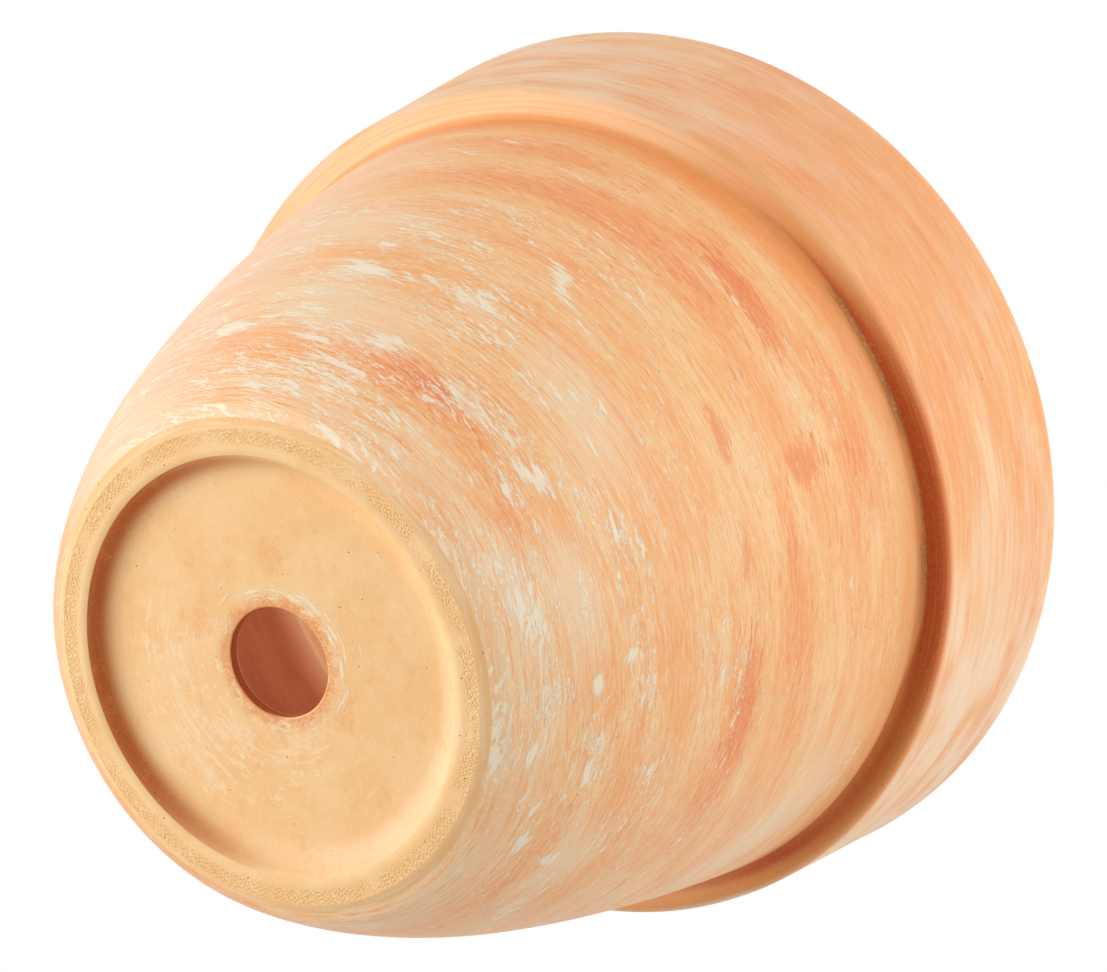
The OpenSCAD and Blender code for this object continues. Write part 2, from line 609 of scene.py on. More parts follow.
def patches(spot, places):
    """The nearest of several patches."""
    nearest = patch(spot, *places[0])
    for place in places[1:]:
        nearest = nearest.maths("MAXIMUM", nearest, patch(spot, *place))
    return nearest


# %% [markdown]
# The key lamp lights the pot from one side. On the side away from it, the groove under the band is
# painted deep orange as painted shade. On the back, which the key lamp lights strongly, all the paint
# is a shade deeper, also as painted shade.

# %% One side of the pot
GROOVE_SHADE_WAY = -50
SHADY_WAY = 98
# Painted shade for the back of the pot, where the key lamp lights strongly.
BACK_SHADE_CLAY = paint(204, 124, 72)


def lies_towards(spot, angle):
    """How far round towards an angle in degrees this spot lies, from -1 to 1."""
    turn = math.radians(angle)
    return (spot.x * math.cos(turn) + spot.y * math.sin(turn)) / spot.radius


def on_side(spot, angle, begins, full):
    """1 on the side of the pot that lies towards an angle, and 0 well away from it."""
    return smooth(lies_towards(spot, angle), begins, full)


def groove_shade_side(spot):
    """1 on the side of the groove that is painted deep orange as shade."""
    return on_side(spot, GROOVE_SHADE_WAY, 0.55, 0.95)


def shade_the_back(spot, colour):
    """The same colour, a shade deeper on the back, as painted shade where the key lamp lights
    strongly.
    """
    return blend(on_side(spot, SHADY_WAY, 0.3, 0.85) * 0.36, colour, BACK_SHADE_CLAY)


def close_to(value, middle, core, edge):
    """1 near middle and 0 away from it. Core and edge are squares of the distance."""
    off = value - middle
    return smooth(off * off, edge, core)


# %% [markdown]
# A finish is a material on the pot's next slot, in the order of the slots above. At its end its
# colour and its relief, a bump map in millimetres, are joined to the shader.

# %% Starting and firing a finish
def new_finish(name):
    """An empty material on the pot's next slot, and the spot that its patterns read."""
    material = bpy.data.materials.new(name)
    material.use_nodes = True
    pot_mesh.materials.append(material)
    return read_spot(material.node_tree)


def fire(name, spot, colour, height, roughness, gloss):
    """Joins a finish to its shader: colour, relief in millimetres, roughness and gloss."""
    tree = spot.x.tree
    shader = tree.nodes["Principled BSDF"]
    relief = height.node("ShaderNodeBump", {}, {"Height": height, "Distance": MM})
    tree.links.new(relief.socket, shader.inputs["Normal"])
    tree.links.new(colour.socket, shader.inputs["Base Color"])
    shader.inputs["Roughness"].default_value = roughness
    shader.inputs["Specular IOR Level"].default_value = gloss
    print("finish", name, "uses", len(tree.nodes), "nodes")


# %% [markdown]
# The wall is tan clay under soft orange clouds and brushed streaks. Wall and band start from the
# same noises: slow for the clouds, brush for the streaks and hair for the finest. Brush and hair
# together fray the edge of every mark.

# %% The ground of the wall
TAN = paint(253, 193, 126)
STRAW = paint(255, 206, 144)
ORANGE = paint(254, 170, 98)
EMBER = paint(251, 145, 72)
HAZE = paint(252, 224, 186)
# Pale dust on the band, and a painted sheen on the wall.
DUST_AND_SHEEN = paint(240, 209, 187)
WALL_SHEEN_WAY = 172

# The angle, height, half length, half height and tilt of each patch
EMBERS = [
    (-44, 83, 40, 9, -3), (-118, 103, 36, 9, -3), (-77, 137, 42, 11, -2), (-110, 130, 30, 8, -4),
    (-126, 28, 36, 8, -4), (-93, 18, 15, 4, -5), (-142, 140, 60, 9, 0), (-60, 105, 40, 10, 2),
    (-24, 26, 44, 9, 0), (-124, 118, 56, 20, 0), (-68, 130, 40, 9, 0),
]

Noises = namedtuple("Noises", "slow brush hair frayed")


def wall_noises(spot):
    """The noises that all marks on the wall share."""
    slow = clouds(spot, 80, 14, seed=1, detail=4)
    brush = clouds(spot, 26, 0.8, seed=3, detail=5, rough=0.66)
    hair = clouds(spot, 5, 0.32, seed=5, rough=0.6)
    frayed = (brush - 0.5) * 0.6 + (hair - 0.5) * 0.5
    return Noises(slow, brush, hair, frayed)


def low_half(spot):
    """1 on the lower half of the wall."""
    return smooth(spot.z, 108, 62)


def by_neck(spot):
    """1 at the top of the wall, which the band has sheltered."""
    return smooth(spot.z, 147, 154)


def wall_ground(spot, noises, ember):
    """Tan clay with orange clouds and brushed streaks, and a painted sheen on one side."""
    slow, brush, hair, frayed = noises
    warm = clouds(spot, 46, 7, seed=2, detail=4)
    colour = blend(smooth(warm + frayed * 0.6, 0.36, 0.56), STRAW, TAN)
    colour = blend(smooth(slow + frayed * 0.6, 0.44, 0.60) * 0.55, colour, ORANGE)
    colour = blend(smooth(ember, -0.05, 0.42) * 0.55, colour, EMBER)
    colour = blend(smooth(brush + hair * 0.3, 0.66, 0.78) * 0.4, colour, HAZE)
    colour = blend(smooth(brush + hair * 0.3, 0.63, 0.51) * 0.45, colour, EMBER)
    colour = blend(smooth(hair, 0.53, 0.62) * (0.3 + low_half(spot) * 0.2), colour, EMBER)
    colour = blend(smooth(hair, 0.47, 0.37) * (0.2 + low_half(spot) * 0.2), colour, HAZE)
    colour = blend(by_neck(spot) * (0.55 - groove_shade_side(spot) * 0.3), colour, EMBER)
    # A painted sheen: a pale haze along the side where the wall turns away.
    return blend(on_side(spot, WALL_SHEEN_WAY, 0.86, 1) * (0.35 + hair * 0.2), colour, DUST_AND_SHEEN)


# %% [markdown]
# Ragged rust red patches and fibres are where the clay holds more iron. Pale clouds are lime that
# rain has spread, most of it low down, where a wet pot dries last.

# %% Rust and bloom on the wall
RUST = paint(240, 121, 58)
LIMY_WAY = -115

RUST_MARKS = [
    (-79.6, 117, 8.5, 12, 0), (-89, 91, 11, 3.5, -6), (-70, 85, 10, 2.5, -12), (-46, 83, 28, 6, -4),
    (-104, 130, 26, 6, -8), (-124, 28, 22, 5, -6),
]
CLOUDS = [
    (-18, 124, 46, 17, -20), (-127.5, 59, 13, 5, -10), (-150, 59, 16, 5, -14),
    (-158, 84, 34, 16, 0), (-21, 36, 20, 10, 0), (-150, 44, 44, 16, -6),
    (-104, 54, 34, 15, -8), (-74, 27, 22, 9, 0),
]


def near_foot(spot):
    """1 at the foot of the wall."""
    return smooth(spot.z, 60, 12)


def limy_foot(spot):
    """1 at the foot of the wall, on the side that got most of the lime."""
    return near_foot(spot) * on_side(spot, LIMY_WAY, -0.1, 0.75)


def rust_stains(spot, noises, ember, colour):
    """Lays the red patches and fibres on the colour."""
    fibre = climbing(spot, 7, 0.7, 0.22, seed=11, detail=3)
    marks = patches(spot, RUST_MARKS) * 1.2 + (fibre - 0.5) * 2.8 + noises.frayed * 2.6
    colour = blend(smooth(marks, 0.3, 0.42) * 0.5, colour, RUST)
    fibres = smooth(fibre + ember * 0.14 + noises.frayed * 0.3, 0.57, 0.65)
    return blend(fibres * 0.45, colour, RUST)


def lime_bloom(spot, noises, colour):
    """Lays the pale clouds on the colour, and the paler wash at the foot."""
    cloud = patches(spot, CLOUDS) * 0.5 + (noises.slow - 0.5) * 0.6 + noises.frayed * 1.3
    colour = blend(smooth(cloud + limy_foot(spot) * 0.12, -0.02, 0.42) * 0.6, colour, HAZE)
    foot_wash = smooth(spot.z, 26, 7)
    washed = smooth(noises.brush + noises.hair * 0.5 + foot_wash * 0.12, 0.76, 0.86)
    return blend(washed * foot_wash * 0.4, colour, HAZE)


# %% [markdown]
# Crisp white flecks are dried lime that was brushed while still soft. The largest have a place of
# their own. The others fall where a noise passes a limit, and they crowd towards the foot and the
# weather side.

# %% Flecks of lime, and the finished wall
LIME = paint(255, 242, 216)
PIT = paint(140, 88, 56)
WET_WAY = -150

LIME_MARKS = [
    (-121.5, 84, 12, 4.5, -42), (-148.8, 72, 6, 2.6, 0), (-148, 60, 15, 4, -16),
    (-105.4, 56, 5.5, 2, -6), (-97, 51, 7, 1.4, -6), (-134, 34, 11, 4.5, 6), (-96.4, 31, 12, 5, 8),
    (-167, 34, 13, 5, 0), (-147, 28, 12, 2.5, 0), (-58.5, 29, 6, 3, 4), (-40.8, 29, 8, 3, 0),
    (-21, 29, 4, 5.5, 0), (-26, 17, 10, 2.6, -8), (-47, 11, 9, 2, -12), (-137, 21, 18, 1.8, -3),
    (-62, 40, 4, 3, -40),
]


def crowding(spot):
    """How much more lime there is here than elsewhere on the wall."""
    wet_side = on_side(spot, WET_WAY, 0.6, 0.95) * smooth(spot.z, 142, 100) * smooth(spot.z, 20, 95)
    clumps = clouds(spot, 34, 11, seed=8, detail=2)
    crowd = limy_foot(spot) * 0.045 + low_half(spot) * 0.055 + wet_side * 0.035
    return crowd - by_neck(spot) * 0.1 + (clumps - 0.5) * 0.4


def lime_flecks(spot, noises, crowd):
    """1 in a fleck, be it placed or scattered, and 0 between them."""
    fleck = climbing(spot, 8, 1.5, 0.2, seed=31, detail=5, rough=0.68)
    placed = patches(spot, LIME_MARKS) * 0.8 + noises.frayed * 2.2 + (fleck - 0.5) * 1.8
    scattered = fleck + crowd + noises.frayed * 0.3
    return smooth(fleck.maths("MAXIMUM", scattered - 0.66, (placed - 0.32) * 0.2), 0, 0.03)


def finish_wall():
    spot = new_finish("wall")
    noises = wall_noises(spot)
    slow, brush, hair, frayed = noises
    ember = patches(spot, EMBERS) * 0.4 + (slow - 0.5) * 1.1 + frayed * 1.1
    colour = wall_ground(spot, noises, ember)
    colour = rust_stains(spot, noises, ember, colour)
    colour = lime_bloom(spot, noises, colour)

    crowd = crowding(spot)
    limed = lime_flecks(spot, noises, crowd)
    colour = blend(limed * (0.6 + hair * 0.4), colour, LIME)
    chip = clouds(spot, 2.6, 0.5, seed=41, rough=0.65)
    chipped = smooth(chip + crowd + frayed * 0.15, 0.68, 0.715)
    colour = blend(chipped * 0.75, colour, LIME)
    thread = climbing(spot, 11, 0.24, 0.1, seed=51, detail=1)
    threaded = thread + crowd * 0.7 + near_foot(spot) * 0.03 + (hair - 0.5) * 0.1
    colour = blend(smooth(threaded, 0.70, 0.74) * 0.7, colour, LIME)

    pits = pinholes(spot, apart=9, share=0.4, size=0.2)
    grain = clay_grain(spot, seed=6, height=WIPED_GRAIN)
    colour = blend(pits * 0.8, colour, PIT)
    colour = blend(smooth(grain, 0.5, 0.8) * 0.3, colour, HAZE)
    colour = shade_the_back(spot, blend(smooth(grain, 0.5, 0.25) * 0.25, colour, EMBER))
    height = brush * 0.10 + hair * 0.12 + grain * 0.05 + limed * 0.05 + chipped * 0.03 - pits * 0.2
    fire("wall", spot, colour, height, roughness=0.5, gloss=0.5)


finish_wall()

# %% [markdown]
# The band was wiped smooth, so it has broad soft clouds and few flecks. It catches more weather than
# the wall: dusty mottles, slanting streaks, one side that stayed ruddy and two sides with paler
# streaks.

# %% The ground of the band
BAND_TAN = paint(249, 190, 132)
BAND_PEACH = paint(246, 164, 104)
BAND_PALE = paint(253, 217, 172)
BAND_EMBER = paint(243, 148, 86)
BAND_CREAM = paint(253, 224, 192)
RUDDY_WAY = -112
PALE_SIDE_WAY = -8
PALE_BACK_WAY = -165

BAND_CLOUDS = [
    (-28, 182, 46, 14, -8), (-48, 168, 20, 5, 10), (-8, 172, 40, 9, -6), (-100, 205, 40, 6, 0),
    (-130, 176, 44, 6, 0), (-66, 190, 26, 9, 0),
]
BAND_EMBERS = [
    (-98, 190, 46, 13, -4), (-110, 178, 36, 6, 0), (-60, 210, 60, 7, 4), (-150, 196, 60, 10, 0),
]


def band_noises(spot):
    """The noises that all marks on the band share."""
    slow = clouds(spot, 70, 11, seed=21, detail=4)
    brush = clouds(spot, 44, 1.8, seed=13, detail=5, rough=0.62)
    hair = clouds(spot, 8, 0.4, seed=15, rough=0.6)
    frayed = (brush - 0.5) * 0.6 + (hair - 0.5) * 0.4
    return Noises(slow, brush, hair, frayed)


def band_ground(spot, noises):
    """Wiped clay with broad clouds and fine streaks."""
    slow, brush, hair, frayed = noises
    colour = blend(smooth(slow + frayed * 0.8, 0.38, 0.62) * 0.8, BAND_TAN, BAND_PEACH)
    warm = patches(spot, BAND_EMBERS) * 0.5 + (slow - 0.5) * 0.6 + frayed
    colour = blend(smooth(warm, -0.05, 0.4) * 0.55, colour, BAND_PEACH)
    cloud = patches(spot, BAND_CLOUDS) * 0.5 + (slow - 0.5) * -0.8 + frayed * 1.6
    colour = blend(smooth(cloud, -0.08, 0.45) * 0.6, colour, BAND_PALE)
    colour = blend(smooth(brush + hair * 0.4, 0.72, 0.90) * 0.3, colour, HAZE)
    colour = blend(smooth(hair, 0.53, 0.66) * 0.45, colour, BAND_EMBER)
    return blend(smooth(hair, 0.47, 0.34) * 0.4, colour, BAND_PALE)


def band_weather(spot, frayed, colour):
    """Lays mottles, streaks, a ruddy side and paler sides on the colour, and painted shade along the
    lower edge.
    """
    mottle = clouds(spot, 30, 11, seed=38)
    colour = blend(smooth(mottle + frayed * 0.5, 0.46, 0.76) * 0.4, colour, DUST_AND_SHEEN)
    colour = blend(smooth(mottle, 0.5, 0.3) * 0.3, colour, BAND_PEACH)
    slant = climbing(spot, 16, 1.5, 0.12, seed=39, rough=0.66)
    colour = blend(smooth(slant + frayed * 0.3, 0.52, 0.68) * 0.45, colour, BAND_PALE)
    colour = blend(smooth(slant + frayed * 0.3, 0.48, 0.34) * 0.35, colour, BAND_EMBER)
    ruddy = on_side(spot, RUDDY_WAY, 0.8, 0.99)
    colour = blend(ruddy * (0.05 + slant * 0.45), colour, BAND_EMBER)
    pale_sides = on_side(spot, PALE_SIDE_WAY, 0.46, 0.94)
    pale_sides = pale_sides + on_side(spot, PALE_BACK_WAY, 0.55, 1) * 0.7
    pale_streaks = pale_sides * (0.1 + smooth(mottle + frayed, 0.3, 0.66) * 0.65)
    colour = blend(pale_streaks, colour, BAND_CREAM)
    # Painted shade: orange along the band's lower edge on the groove's shaded side.
    shaded_low_edge = smooth(spot.z, NECK_Z + 5, NECK_Z + 1.5)
    return blend(shaded_low_edge * groove_shade_side(spot) * 0.8, colour, EMBER)


# %% [markdown]
# Under the band lies the ledge, with fine rings from the wet sponge, and a groove where it meets the
# neck. Its clay is tan on one side of the pot. Towards the other it is painted orange and then deep
# orange as painted shade, first in the corner and then right across.

# %% The ledge and the groove
# Deep orange and brown are painted shade in the groove, and so is the orange at the neck corner.
GROOVE_SHADE = paint(208, 84, 24)
GROOVE_SHADE_BROWN = paint(222, 122, 54)
LEDGE_TAN = paint(250, 201, 153)
GOLD = paint(238, 160, 88)
CORNER_SHADE_ORANGE = paint(254, 168, 92)
SHADE_BROWN_WAY = -26
CORNER_WAY = 0
GOLDEN_WAY = 10
CRUST_WAY = -82


def on_the_ledge(spot, off_neck):
    """1 on the ledge and round its outer edge, where the painted shade reaches a little further out.
    """
    in_shade = groove_shade_side(spot)
    across = smooth(off_neck - in_shade, LEDGE_W - 0.2, LEDGE_W - 2.4)
    return across * smooth(spot.z - in_shade * 1.2, NECK_Z + 2.4, NECK_Z + 0.6)


def ledge_colour(spot, off_neck, rings):
    """The colour of the ledge, from the groove at the neck to its outer edge, mostly painted shade on
    one side.
    """
    # Painted shade: orange towards the groove's shaded side, and a lighter orange in the corner by
    # the neck.
    colour = blend(on_side(spot, GROOVE_SHADE_WAY, 0.1, 0.6) * 0.85, LEDGE_TAN, ORANGE)
    colour = blend(smooth(off_neck, 2, 0.4) * 0.8, colour, CORNER_SHADE_ORANGE)
    # Painted shade: deep orange and brown, first in the corner and then right across the ledge.
    corner_first = lies_towards(spot, GROOVE_SHADE_WAY) + smooth(off_neck, 6, 1) * 0.22
    into_corner = on_side(spot, CORNER_WAY, 0.6, 0.85) * 2.4
    shaded_groove = smooth(corner_first, 0.58, 0.92) * smooth(off_neck + into_corner, 0.8, 2.2)
    deepest_shade = blend(on_side(spot, SHADE_BROWN_WAY, 0.93, 0.995) * 0.85, GROOVE_SHADE, GROOVE_SHADE_BROWN)
    colour = blend(shaded_groove * (0.8 + rings * 0.3), colour, deepest_shade)
    # The golden orange on the outer ledge is painted shade too. The sponge rings below are the clay's
    # own.
    golden_shade = smooth(off_neck, 2.5, 7) * on_side(spot, GOLDEN_WAY, 0.5, 0.9)
    colour = blend(golden_shade * 0.8, colour, GOLD)
    return blend(smooth(rings, 0.52, 0.62) * 0.3, colour, GOLD)


def groove_crust(spot, off_neck):
    """1 in a grain of the lime that has settled by the neck."""
    at_neck = close_to(off_neck, 1.1, core=0.1, edge=0.7) * smooth(spot.z, NECK_Z + 2, NECK_Z + 1)
    at_neck = at_neck * on_side(spot, CRUST_WAY, 0.8, 0.95)
    clumped = smooth(clouds(spot, 18, 18, seed=28, detail=1), 0.4, 0.6)
    crust = smooth(clouds(spot, 0.8, 0.8, seed=27, rough=0.7), 0.4, 0.56)
    return crust * at_neck * clumped


# %% [markdown]
# The band's flecks are finer than the wall's and stay off the ledge. Along the lip the clay is
# scraped here and there, where pots were stacked one inside the other.

# %% The finished band
CRUST = paint(253, 202, 152)
SCRAPED = paint(150, 116, 74)


def finish_band():
    spot = new_finish("band")
    noises = band_noises(spot)
    frayed = noises.frayed
    colour = band_weather(spot, frayed, band_ground(spot, noises))

    rings = circling(spot, 12, 0.7, seed=29, detail=2)
    off_neck = spot.radius - NECK_R
    on_ledge = on_the_ledge(spot, off_neck)
    colour = blend(on_ledge * 0.95, colour, ledge_colour(spot, off_neck, rings))
    crust = groove_crust(spot, off_neck)
    colour = blend(crust * 0.4, colour, CRUST)

    fleck = climbing(spot, 8, 0.9, 0.12, seed=35, rough=0.66)
    more_low_down = smooth(spot.z, NECK_Z + 9, NECK_Z + 3) * 0.04
    limed = smooth(fleck + frayed * 0.4 + more_low_down, 0.70, 0.74) * (1 - on_ledge)
    colour = blend(limed * 0.6, colour, LIME)
    scraped = smooth(clouds(spot, 5, 0.5, seed=37, detail=2), 0.70, 0.74)
    colour = blend(scraped * smooth(spot.z, POT_H - 12, POT_H - 7) * 0.6, colour, SCRAPED)

    pits = pinholes(spot, apart=9, share=0.35, size=0.2)
    grain = clay_grain(spot, seed=16, height=WIPED_GRAIN)
    colour = blend(pits * 0.8, colour, PIT)
    colour = shade_the_back(spot, blend(smooth(grain, 0.5, 0.8) * 0.25, colour, HAZE))
    height = noises.brush * 0.08 + noises.hair * 0.07 + grain * 0.05
    height = height + limed * 0.03 + crust * 0.3 - pits * 0.2 + rings * on_ledge * 0.15
    fire("band", spot, colour, height, roughness=0.6, gloss=0.3)


finish_band()

# %% [markdown]
# The foot is the paler, drier clay of a part that nobody wiped. Its colour follows the print that
# was cut into the mesh: the hollows are browner, and the ridges are rubbed pale.

# %% The foot
FOOT_TAN = paint(250, 202, 145)
FOOT_PALE = paint(252, 211, 157)
BEVEL_TAN = paint(248, 188, 128)
WEAVE_BROWN = paint(232, 160, 80)
WEAVE_PALE = paint(255, 222, 164)
GRAIN_BROWN = paint(236, 168, 100)


def finish_foot():
    spot = new_finish("foot")
    tone = clouds(spot, 16, 16, seed=44, detail=4)
    colour = blend(smooth(tone, 0.4, 0.62), FOOT_TAN, FOOT_PALE)
    streak = clouds(spot, 20, 0.7, seed=46)
    bevel = smooth(spot.radius, FOOT_R + 0.2, FOOT_R + 1.5)
    colour = blend(bevel * 0.5, colour, BEVEL_TAN)
    colour = blend(bevel * smooth(streak, 0.5, 0.62) * 0.6, colour, HAZE)

    worn = smooth(clouds(spot, WORN_SIZE, WORN_SIZE, seed=45, detail=2), 0.3, 0.5)
    jitter = clouds(spot, JITTER_SIZE, JITTER_SIZE, seed=47, detail=1) - 0.5
    ridge = cloth_print(spot.turn, spot.radius, lambda wire: wire.maths("SINE", wire), jitter)
    from_inside = smooth(spot.radius, PRINT_IN, PRINT_IN + 2)
    printed = from_inside * smooth(spot.radius, PRINT_OUT + 0.6, PRINT_OUT) * worn
    colour = blend(smooth(ridge, 0.1, -0.7) * printed * 0.7, colour, WEAVE_BROWN)
    colour = blend(smooth(ridge, 0.1, 0.8) * printed * 0.5, colour, WEAVE_PALE)

    pits = pinholes(spot, apart=3.5, share=0.5, size=0.18)
    grain = clay_grain(spot, seed=43)
    colour = blend(pits * 0.9, colour, PIT)
    colour = blend(smooth(grain, 0.5, 0.8) * 0.3, colour, FOOT_PALE)
    colour = blend(smooth(grain, 0.5, 0.25) * 0.3, colour, GRAIN_BROWN)
    height = grain * 0.10 + ridge * printed * 0.07 - pits * 0.3
    fire("foot", spot, colour, height, roughness=0.7, gloss=0.15)


finish_foot()

# %% [markdown]
# Under the floor the clay is even. Painted shade darkens the hollow along one side of the recess, and
# painted light makes the other side palest. A few stains, whitish wisps and a fine mottle keep it
# from looking painted.

# %% The ground of the recess
RECESS_TAN = paint(248, 198, 139)
RECESS_PALE = paint(250, 206, 151)
COVE_SHADE = paint(196, 104, 50)
COVE_LIGHT = paint(255, 219, 182)
BLUSH = paint(243, 166, 102)
MOTTLE_BROWN = paint(240, 162, 98)
COVE_SHADE_WAY = 128
COVE_LIGHT_WAY = -22

# The angle, height, half length, half height, tilt and radius of each patch
BLUSHES = [(140, 6, 9, 9, 0, 27), (-150, 6, 8, 8, 0, 31), (-25, 6, 10, 9, 0, 24)]
WISPS = [(74, 6, 24, 22, 0, 38), (118, 6, 15, 10, 0, 38), (20, 6, 14, 8, 0, 26)]


def recess_ground(spot):
    """Even clay, with painted shade in the hollow on one side and painted light on the other."""
    tone = clouds(spot, 20, 20, seed=54, detail=5)
    colour = blend(smooth(tone, 0.4, 0.62), RECESS_TAN, RECESS_PALE)
    cove = smooth(spot.radius, RECESS_R - 8, RECESS_R - 2)
    shaded_side = on_side(spot, COVE_SHADE_WAY, -0.2, 0.8)
    # Painted shade in the hollow on one side of the recess.
    colour = blend(cove * cove * shaded_side, colour, COVE_SHADE)
    # Painted light, palest on the other side of the recess.
    lit_side = on_side(spot, COVE_LIGHT_WAY, 0.3, 0.95)
    lit_cove = lit_side * smooth(spot.radius, RECESS_R - 10, RECESS_R - 5)
    return blend(lit_cove * 0.45, colour, COVE_LIGHT)


def recess_stains(spot, smear, off_cove, colour):
    """Lays the blushes, the wisps and the mottle on the colour."""
    blush = smooth(patches(spot, BLUSHES) + (smear - 0.5) * 5, 0.3, 1.1)
    colour = blend(blush * 0.4, colour, BLUSH)
    swirl = circling(spot, 11, 1.6, seed=58, detail=6, curl=1.4)
    wisp = smooth(swirl + patches(spot, WISPS) * 0.2 + (smear - 0.5) * 1.1, 0.59, 0.75)
    colour = blend(wisp * off_cove * 0.6, colour, HAZE)
    mottle = clouds(spot, 7, 7, seed=61, detail=6, rough=0.76)
    colour = blend(smooth(mottle, 0.52, 0.7) * off_cove * 0.32, colour, HAZE)
    return blend(smooth(mottle, 0.48, 0.3) * 0.28, colour, MOTTLE_BROWN)


# %% [markdown]
# A finger cleared the drain hole while the clay was wet. That left a rubbed and gritty orange ring at
# the edge, and smears round it that dried nearly white. The lip of the hole carries painted shade on
# one side and a painted highlight on the other.

# %% Round the drain hole, and the finished recess
RUBBED = paint(236, 146, 84)
GRIT_ORANGE = paint(222, 120, 54)
GRIT_CREAM = paint(254, 216, 168)
LIP_SHADE = paint(176, 74, 30)
LIP_HIGHLIGHT = paint(255, 220, 178)
GRITTY_WAY = -62
SMEARED_WAY = -100
LIP_LIT_WAY = -40


def hole_grit(spot, wander, colour):
    """Lays coarse orange and cream grit on the colour, close to the hole."""
    grit = clouds(spot, 0.7, 0.7, seed=59, rough=0.8)
    near_hole = smooth(wander, 6, 1.5) * (0.45 + on_side(spot, GRITTY_WAY, -0.2, 0.8) * 0.55)
    colour = blend(smooth(grit, 0.5, 0.6) * near_hole * 0.65, colour, GRIT_ORANGE)
    return blend(smooth(grit, 0.47, 0.4) * near_hole * 0.6, colour, GRIT_CREAM)


def hole_lip(spot, out, colour):
    """Lays the hole's lip on the colour: painted shade on one side, a painted highlight on the other.
    """
    lip = smooth(spot.z, RECESS_H + 0.02, RECESS_H + 0.4) * smooth(out, 1.4, 0.6)
    # Painted shade on one side of the lip, and a painted highlight on the other.
    lit_part = on_side(spot, LIP_LIT_WAY, -0.1, 0.5)
    return blend(lip * 0.9, colour, blend(lit_part, LIP_SHADE, LIP_HIGHLIGHT))


def finish_recess():
    spot = new_finish("recess")
    grain = clay_grain(spot, seed=53)
    smear = clouds(spot, 4, 4, seed=55, detail=5, rough=0.72)
    arcs = circling(spot, 9, 0.9, seed=57, detail=5, curl=0.5)
    off_cove = smooth(spot.radius, RECESS_R - 7, RECESS_R - 11)
    out = spot.radius - HOLE_R
    wander = out + (clouds(spot, 9, 9, seed=56, detail=2) - 0.5) * 5

    rubbed = smooth(wander + (smear - 0.5) * 9 + (grain - 0.5) * 5, 5, 0.5)
    colour = blend(rubbed * 0.75, recess_ground(spot), RUBBED)
    colour = hole_grit(spot, wander, colour)
    smeared_side = on_side(spot, SMEARED_WAY, -0.5, 0.7)
    near_smears = close_to(wander, 5.5, core=1, edge=12) * (0.04 + smeared_side * 0.06)
    chalk = arcs * 0.9 + smear * 0.35 + near_smears + smooth(out, 22, 4) * 0.04
    chalk = smooth(chalk, 0.74, 0.86)
    colour = blend(chalk * smooth(out, 0.5, 2) * off_cove * 0.6, colour, LIME)
    colour = recess_stains(spot, smear, off_cove, colour)
    colour = hole_lip(spot, out, colour)

    pits = pinholes(spot, apart=4.2, share=0.5, size=0.15)
    pores = pinholes(spot, apart=1.7, share=0.3, size=0.1)
    colour = blend(pits * 0.9, colour, PIT)
    colour = blend(pores * 0.6, colour, WEAVE_BROWN)
    colour = blend(smooth(grain, 0.5, 0.8) * 0.3, colour, RECESS_PALE)
    colour = blend(smooth(grain, 0.5, 0.25) * 0.3, colour, GRAIN_BROWN)
    height = grain * 0.08 + arcs * 0.06 + chalk * 0.06 - rubbed * smear * 0.2 - pits * 0.3
    fire("recess", spot, colour, height, roughness=0.7, gloss=0.2)


finish_recess()

# %% [markdown]
# The inside is painted a deep red brown, darker than the clay outside, partly as painted shade for
# the dim inside. Above the step under the rim the clay is paler, with streaks like those outside. The
# step's edge has a painted highlight, and painted light spreads below it. The wall of the drain hole
# belongs to the inside as well: it gets painted shade, and a painted highlight marks the crease where
# it ends.

# %% The inside
INSIDE_RED = paint(198, 107, 57)
INSIDE_BROWN = paint(207, 122, 70)
INSIDE_STREAK = paint(214, 132, 84)
INSIDE_GRAIN = paint(226, 150, 104)
RIM_ORANGE = paint(240, 178, 120)
RIM_TAN = paint(244, 200, 146)
STEP_LIT_ORANGE = paint(243, 182, 132)
STEP_HIGHLIGHT = paint(253, 206, 160)
HOLE_SHADE = paint(214, 112, 56)
CREASE_HIGHLIGHT = paint(255, 200, 160)


def rim_colour(spot, brush, tone):
    """The colour above the step: tan and orange streaks, like those outside."""
    hair = clouds(spot, 9, 0.5, seed=66)
    colour = blend(smooth(tone + (brush - 0.5) * 1.6, 0.38, 0.64), RIM_ORANGE, RIM_TAN)
    colour = blend(smooth(hair + brush * 0.5, 0.78, 0.92) * 0.5, colour, HAZE)
    return blend(smooth(hair, 0.5, 0.34) * 0.3, colour, RIM_ORANGE)


